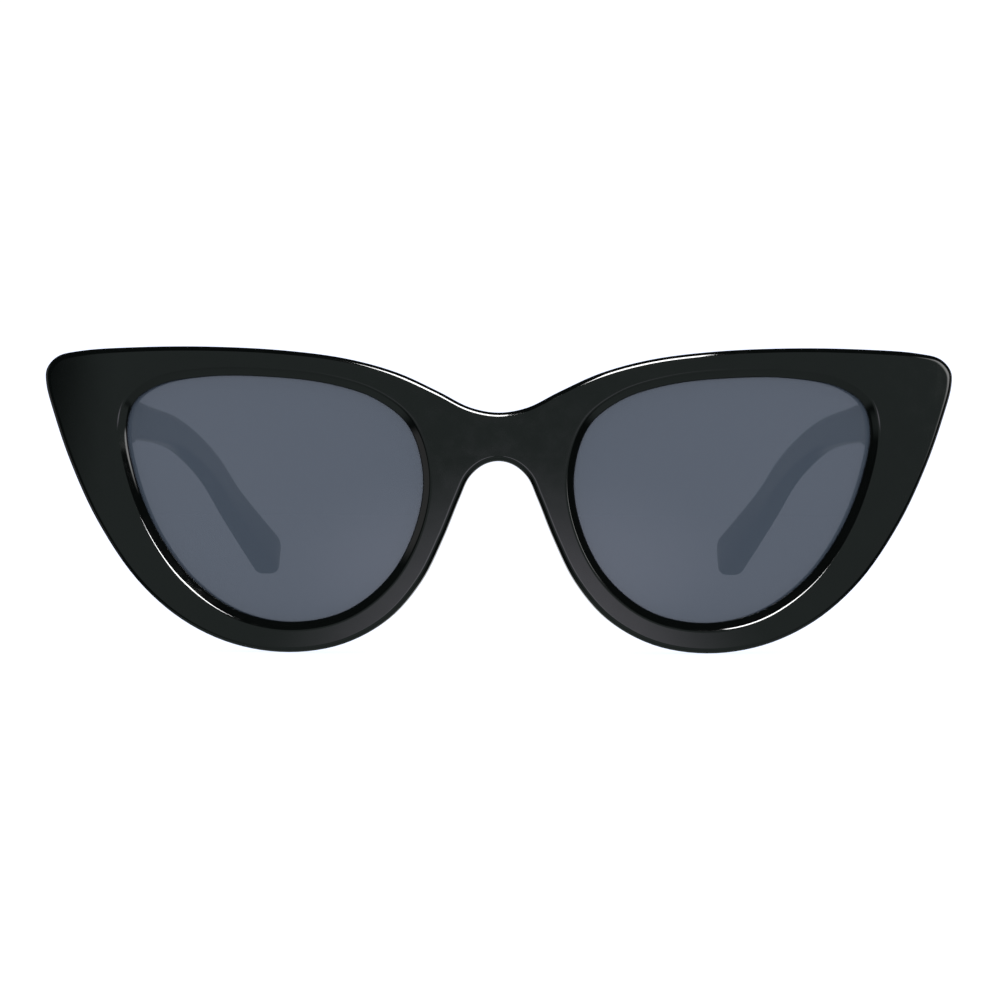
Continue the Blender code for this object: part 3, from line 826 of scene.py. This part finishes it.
def nickel_silver():
    """Nickel silver, stamped and tumbled.

    The eye gets a warm white metal with a satin grain of about a quarter of a millimetre and
    a little tarnish in patches 3 mm across.
    """
    metal = new_material("Nickel silver, stamped and tumbled")
    place = add_node(metal, "ShaderNodeTexCoord").outputs["Object"]
    grain = add_node(
        metal, "ShaderNodeTexNoise", {"Vector": place, "Scale": 1 / (0.25 * MM), "Detail": 3.0}
    )
    patches = add_node(
        metal, "ShaderNodeTexNoise", {"Vector": place, "Scale": 1 / (3.0 * MM), "Detail": 3.0}
    )
    tarnish = add_node(
        metal, "ShaderNodeMix",
        {0: patches.outputs[0], 6: linear("#a59c8c"), 7: linear("#d3cdc1")}, data_type="RGBA",
    )
    satin = add_node(
        metal, "ShaderNodeMapRange",
        {"Value": grain.outputs[0], "From Min": 0.3, "From Max": 0.7,
         "To Min": 0.24, "To Max": 0.38},
    )
    dents = add_node(
        metal, "ShaderNodeBump", {"Height": grain.outputs[0], "Distance": 0.006 * MM}
    )
    shader = add_node(
        metal, "ShaderNodeBsdfPrincipled",
        {"Base Color": tarnish.outputs[2], "Metallic": 1.0, "Roughness": satin.outputs[0],
         "Normal": dents.outputs[0]},
    )
    add_node(metal, "ShaderNodeOutputMaterial", {"Surface": shader.outputs[0]})
    return metal


def turned_steel():
    """Stainless steel, turned: bright and cool, with a tool grain of about 0.15 mm."""
    metal = new_material("Stainless steel, turned")
    place = add_node(metal, "ShaderNodeTexCoord").outputs["Object"]
    grain = add_node(metal, "ShaderNodeTexNoise", {"Vector": place, "Scale": 1 / (0.15 * MM)})
    shine = add_node(
        metal, "ShaderNodeMapRange",
        {"Value": grain.outputs[0], "From Min": 0.3, "From Max": 0.7,
         "To Min": 0.16, "To Max": 0.3},
    )
    tone = add_node(
        metal, "ShaderNodeMix",
        {0: grain.outputs[0], 6: linear("#b2b4b5"), 7: linear("#d0d1d0")}, data_type="RGBA",
    )
    shader = add_node(
        metal, "ShaderNodeBsdfPrincipled",
        {"Base Color": tone.outputs[2], "Metallic": 1.0, "Roughness": shine.outputs[0]},
    )
    add_node(metal, "ShaderNodeOutputMaterial", {"Surface": shader.outputs[0]})
    return metal


def drawn_steel():
    """Spring steel, drawn: dull, with die lines 0.3 mm apart along the wire."""
    metal = new_material("Spring steel, drawn")
    place = add_node(metal, "ShaderNodeTexCoord").outputs["Object"]
    along = add_node(metal, "ShaderNodeMapping", {"Vector": place, "Scale": (1.0, 0.05, 1.0)})
    lines = add_node(
        metal, "ShaderNodeTexNoise", {"Vector": along.outputs[0], "Scale": 1 / (0.3 * MM)}
    )
    tone = add_node(
        metal, "ShaderNodeMix",
        {0: lines.outputs[0], 6: linear("#858684"), 7: linear("#a9a9a6")}, data_type="RGBA",
    )
    dullness = add_node(
        metal, "ShaderNodeMapRange",
        {"Value": lines.outputs[0], "From Min": 0.3, "From Max": 0.7,
         "To Min": 0.3, "To Max": 0.45},
    )
    shader = add_node(
        metal, "ShaderNodeBsdfPrincipled",
        {"Base Color": tone.outputs[2], "Metallic": 1.0, "Roughness": dullness.outputs[0]},
    )
    add_node(metal, "ShaderNodeOutputMaterial", {"Surface": shader.outputs[0]})
    return metal


def light_table():
    """A frosted sheet lit from below: an even, cool white with its frosting's faint mottle."""
    sheet = new_material("White light table, frosted acrylic")
    place = add_node(sheet, "ShaderNodeTexCoord").outputs["Object"]
    frosting = add_node(
        sheet, "ShaderNodeTexNoise", {"Vector": place, "Scale": 1 / (3.0 * MM), "Detail": 4.0}
    )
    tone = add_node(
        sheet, "ShaderNodeMix",
        {0: frosting.outputs[0], 6: linear("#e5ebfd"), 7: linear(BACKDROP_TINT)},
        data_type="RGBA",
    )
    shader = add_node(
        sheet, "ShaderNodeBsdfPrincipled",
        {
            "Base Color": linear("#707070"), "Roughness": 0.9, "Specular IOR Level": 0.0,
            "Emission Color": tone.outputs[2], "Emission Strength": FLOOR_GLOW,
        },
    )
    add_node(sheet, "ShaderNodeOutputMaterial", {"Surface": shader.outputs[0]})
    return sheet


def coat(piece, material):
    piece.data.materials.clear()
    piece.data.materials.append(material)


def fit(piece, material, body, slot, *nodes):
    """Gives a piece its finish and its body, and hides the nodes that it stands for."""
    coat(piece, material)
    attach(piece, body)
    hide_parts(*nodes)


def fit_pair(piece, node, material, body, slot):
    """Fits a left piece and its mirror copy. The body may differ from side to side."""
    copy = right_copy(piece, piece.name.replace("left", "right"))
    smooth(copy)
    fit(piece, material, body, slot, node)
    fit(copy, material, body.replace("left", "right"), slot, node.replace("left", "right"))


def build_pieces():
    acetate = black_acetate()
    nickel = nickel_silver()
    steel = turned_steel()
    fit(make_front(), acetate, "front", "front_acetate", "front_frame")
    fit_pair(make_lens(), "lens_left", tinted_lens(), "front", "lens")
    fit_pair(make_nose_pad(), "nose_pad_left", pad_acetate(), "front", "nose_pad")
    fit_pair(make_temple(), "temple_left", acetate, "temple_left", "temple_acetate")
    front_leaf = make_leaf("front_leaf_left_stamped", 0, FRONT_LEAF_LONG, TO_FRONT)
    fit_pair(front_leaf, "front_hinge_leaf_left", nickel, "front", "hinge_metal")
    temple_leaf = make_leaf("temple_leaf_left_stamped", 1, TEMPLE_LEAF_LONG, TO_TEMPLE)
    fit_pair(temple_leaf, "temple_hinge_leaf_left", nickel, "temple_left", "hinge_metal")
    pin = make_screw(
        "hinge_screw_left_turned", PIN_RADIUS, PIN_HEAD_RADIUS, PIN_HEAD_TALL,
        LEAF_TALL / 2 + PIN_HEAD_GAP, -LEAF_TALL / 2,
    )
    to_world(pin, hinge_frame())
    fit_pair(pin, "hinge_screw_left", steel, "front", "screw_metal")
    for screw, node in make_fixings("front_leaf", FRONT_FIX_OUT, TO_FRONT):
        fit_pair(screw, node, steel, "front", "screw_metal")
    for screw, node in make_fixings("temple_leaf", TEMPLE_FIX_OUT, TO_TEMPLE):
        fit_pair(screw, node, steel, "temple_left", "screw_metal")
    wire_steel = drawn_steel()
    for side in ("left", "right"):
        coat(frame["nodes"]["core_wire_" + side], wire_steel)


def make_floor():
    """A light table. Glossy faces see the studio's own dim floor in its place."""
    deselect()
    bpy.ops.mesh.primitive_plane_add(size=FLOOR_WIDE, location=(0.0, 0.0, -FLOOR_DROP))
    floor = bpy.context.object
    floor.name = "floor"
    bpy.ops.object.transform_apply(location=True, rotation=True, scale=True)
    floor.visible_glossy = False
    coat(floor, light_table())


def make_softbox(name, bearing, height, away, size, radiance):
    """A rectangular lamp aimed at the front, at an angle to the right of it and above it."""
    place = Vector((
        math.sin(bearing) * math.cos(height), -math.cos(bearing) * math.cos(height),
        math.sin(height),
    )) * away
    data = bpy.data.lights.new(name, "AREA")
    data.shape = "RECTANGLE"
    data.size, data.size_y = size
    data.energy = radiance * math.pi * size[0] * size[1]
    lamp = bpy.data.objects.new(name, data)
    lamp.visible_diffuse = False
    lamp.location = place + Vector((0.0, FRONT_Y, MIDDLE_Z))
    lamp.rotation_euler = (-place).to_track_quat("-Z", "Y").to_euler()
    bpy.context.collection.objects.link(lamp)


def make_studio():
    """Cool white all round, with the grey panels that the glossy faces mirror instead."""
    world = bpy.data.worlds.new("Studio")
    bpy.context.scene.world = world
    world.use_nodes = True
    world.node_tree.nodes.clear()
    way = add_node(world, "ShaderNodeTexCoord").outputs["Generated"]
    mirrored = add_node(world, "ShaderNodeRGB").outputs[0]
    mirrored.default_value = linear(STUDIO_DARK)
    for middle, reach, core, brightness, tint in STUDIO_PANELS:
        scale = [1 / size for size in reach]
        shift = [-place / size for place, size in zip(middle, reach)]
        local = add_node(
            world, "ShaderNodeMapping", {"Vector": way, "Location": shift, "Scale": scale}
        )
        apart = add_node(
            world, "ShaderNodeVectorMath", {0: local.outputs[0]}, operation="LENGTH"
        )
        share = add_node(
            world, "ShaderNodeMapRange",
            {"Value": apart.outputs["Value"], "From Min": 1.0, "From Max": core,
             "To Min": 0.0, "To Max": brightness},
            interpolation_type="SMOOTHSTEP",
        )
        glow = add_node(
            world, "ShaderNodeMix", {0: share.outputs[0], 6: mirrored, 7: linear(tint)},
            data_type="RGBA", blend_type="ADD", clamp_factor=False,
        )
        mirrored = glow.outputs[2]
    rays = add_node(world, "ShaderNodeLightPath")
    backdrop = [channel * BACKDROP_BRIGHT for channel in linear(BACKDROP_TINT)]
    seen = add_node(
        world, "ShaderNodeMix",
        {0: rays.outputs["Is Glossy Ray"], 6: backdrop, 7: mirrored}, data_type="RGBA",
    )
    light = add_node(world, "ShaderNodeBackground", {"Color": seen.outputs[2]})
    add_node(world, "ShaderNodeOutputWorld", {"Surface": light.outputs[0]})
    for softbox in SOFTBOXES:
        make_softbox(*softbox)


def make_camera():
    data = bpy.data.cameras.new("camera")
    data.sensor_width = SENSOR
    data.lens = SENSOR * CAMERA_BACK / VIEW_WIDE
    data.clip_start = CAMERA_NEAR
    camera = bpy.data.objects.new("camera", data)
    camera.location = (CAMERA_SIDE, FRONT_Y - CAMERA_BACK, MIDDLE_Z)
    camera.rotation_euler = (math.pi / 2, CAMERA_ROLL, 0.0)
    bpy.context.collection.objects.link(camera)
    bpy.context.scene.camera = camera


make_camera()
build_pieces()
make_floor()
make_studio()
bpy.context.scene.view_settings.view_transform = "Standard"
